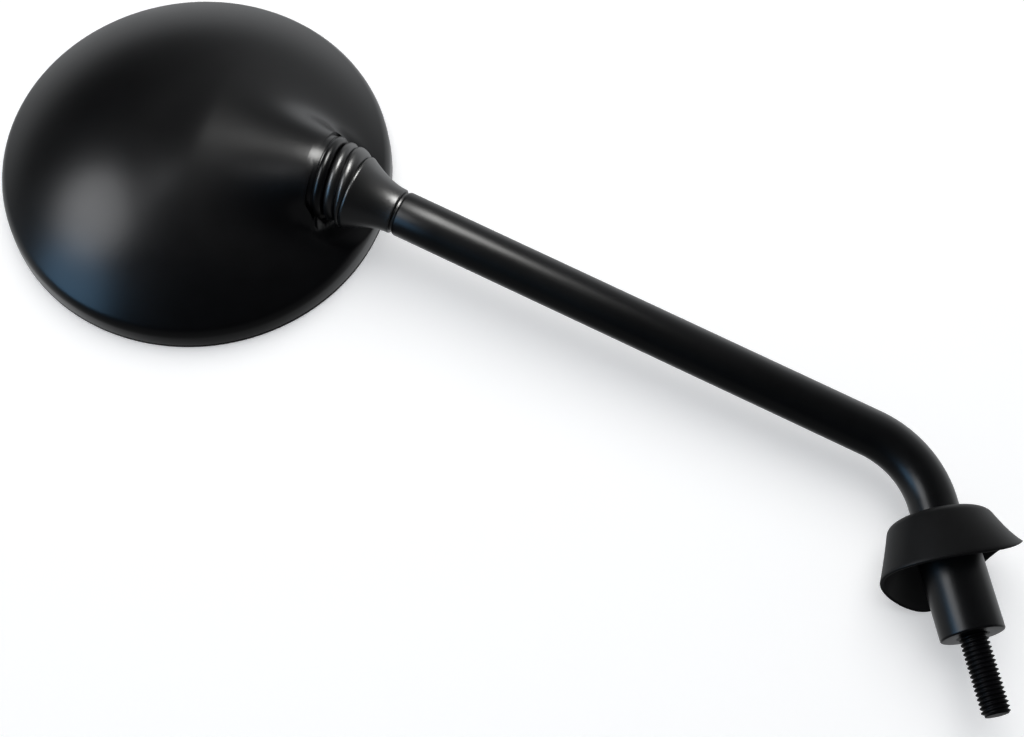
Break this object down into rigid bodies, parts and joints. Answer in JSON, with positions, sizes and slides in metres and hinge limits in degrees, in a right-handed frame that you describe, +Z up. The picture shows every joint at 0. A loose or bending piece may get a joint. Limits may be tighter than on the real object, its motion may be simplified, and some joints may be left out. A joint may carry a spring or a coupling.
{
  "type": "motorcycle mirror",
  "caption": "Round rear-view mirror with a domed back, on a bent tubular stem with a ball joint, dust boot, rubber base boot and threaded stud.",
  "frame": {"origin": "centre of the sleeve's seat, where the stud comes out of it", "axes": "+Z up the leg, the stem leans out to +X, the glass looks to -Y at the rider"},
  "size_m": [0.2764, 0.0498, 0.272],
  "materials": {
    "black_thread": "black zinc on steel, satin",
    "black_metal": "satin black paint",
    "black_rubber": "moulded, matt",
    "ball_steel": "ground bright",
    "liner_nylon": "natural nylon",
    "black_shell": "satin, finely textured",
    "plated_steel": "bright zinc plate",
    "mirror_face": "polished convex glass, silvered behind",
    "backing_felt": "dense felt",
    "gasket_rubber": "extruded, semi-matt"
  },
  "bodies": {
    "stem": {"mount_stud": "black_thread", "mount_sleeve": "black_metal", "stem_tube": "black_metal", "base_boot": "black_rubber", "ball_stud": "ball_steel"},
    "gaiter": {"dust_boot": "black_rubber"},
    "liner": {"socket_liner": "liner_nylon"},
    "head": {"head_shell": "black_shell", "socket_cap": "plated_steel", "cap_washers": "plated_steel", "cap_screws": "plated_steel", "mirror_glass": "mirror_face", "backing_pad": "backing_felt", "glass_gasket": "gasket_rubber"}
  },
  "joints": [
    {"name": "head_swivel", "type": "hinge", "parent": "stem", "child": "gaiter", "pos_m": [0.16012, 0, 0.16825], "axis": [0.8141, 0, 0.5807], "continuous": true},
    {"name": "head_tilt", "type": "hinge", "parent": "gaiter", "child": "liner", "pos_m": [0.16012, 0, 0.16825], "axis": [0.1966, 0.9409, -0.2757], "range_deg": [-22.3, 7.5], "deforming": ["dust_boot"]},
    {"name": "head_turn", "type": "hinge", "parent": "liner", "child": "head", "pos_m": [0.16012, 0, 0.16825], "axis": [0.8777, -0.0436, 0.4772], "continuous": true}
  ]
}
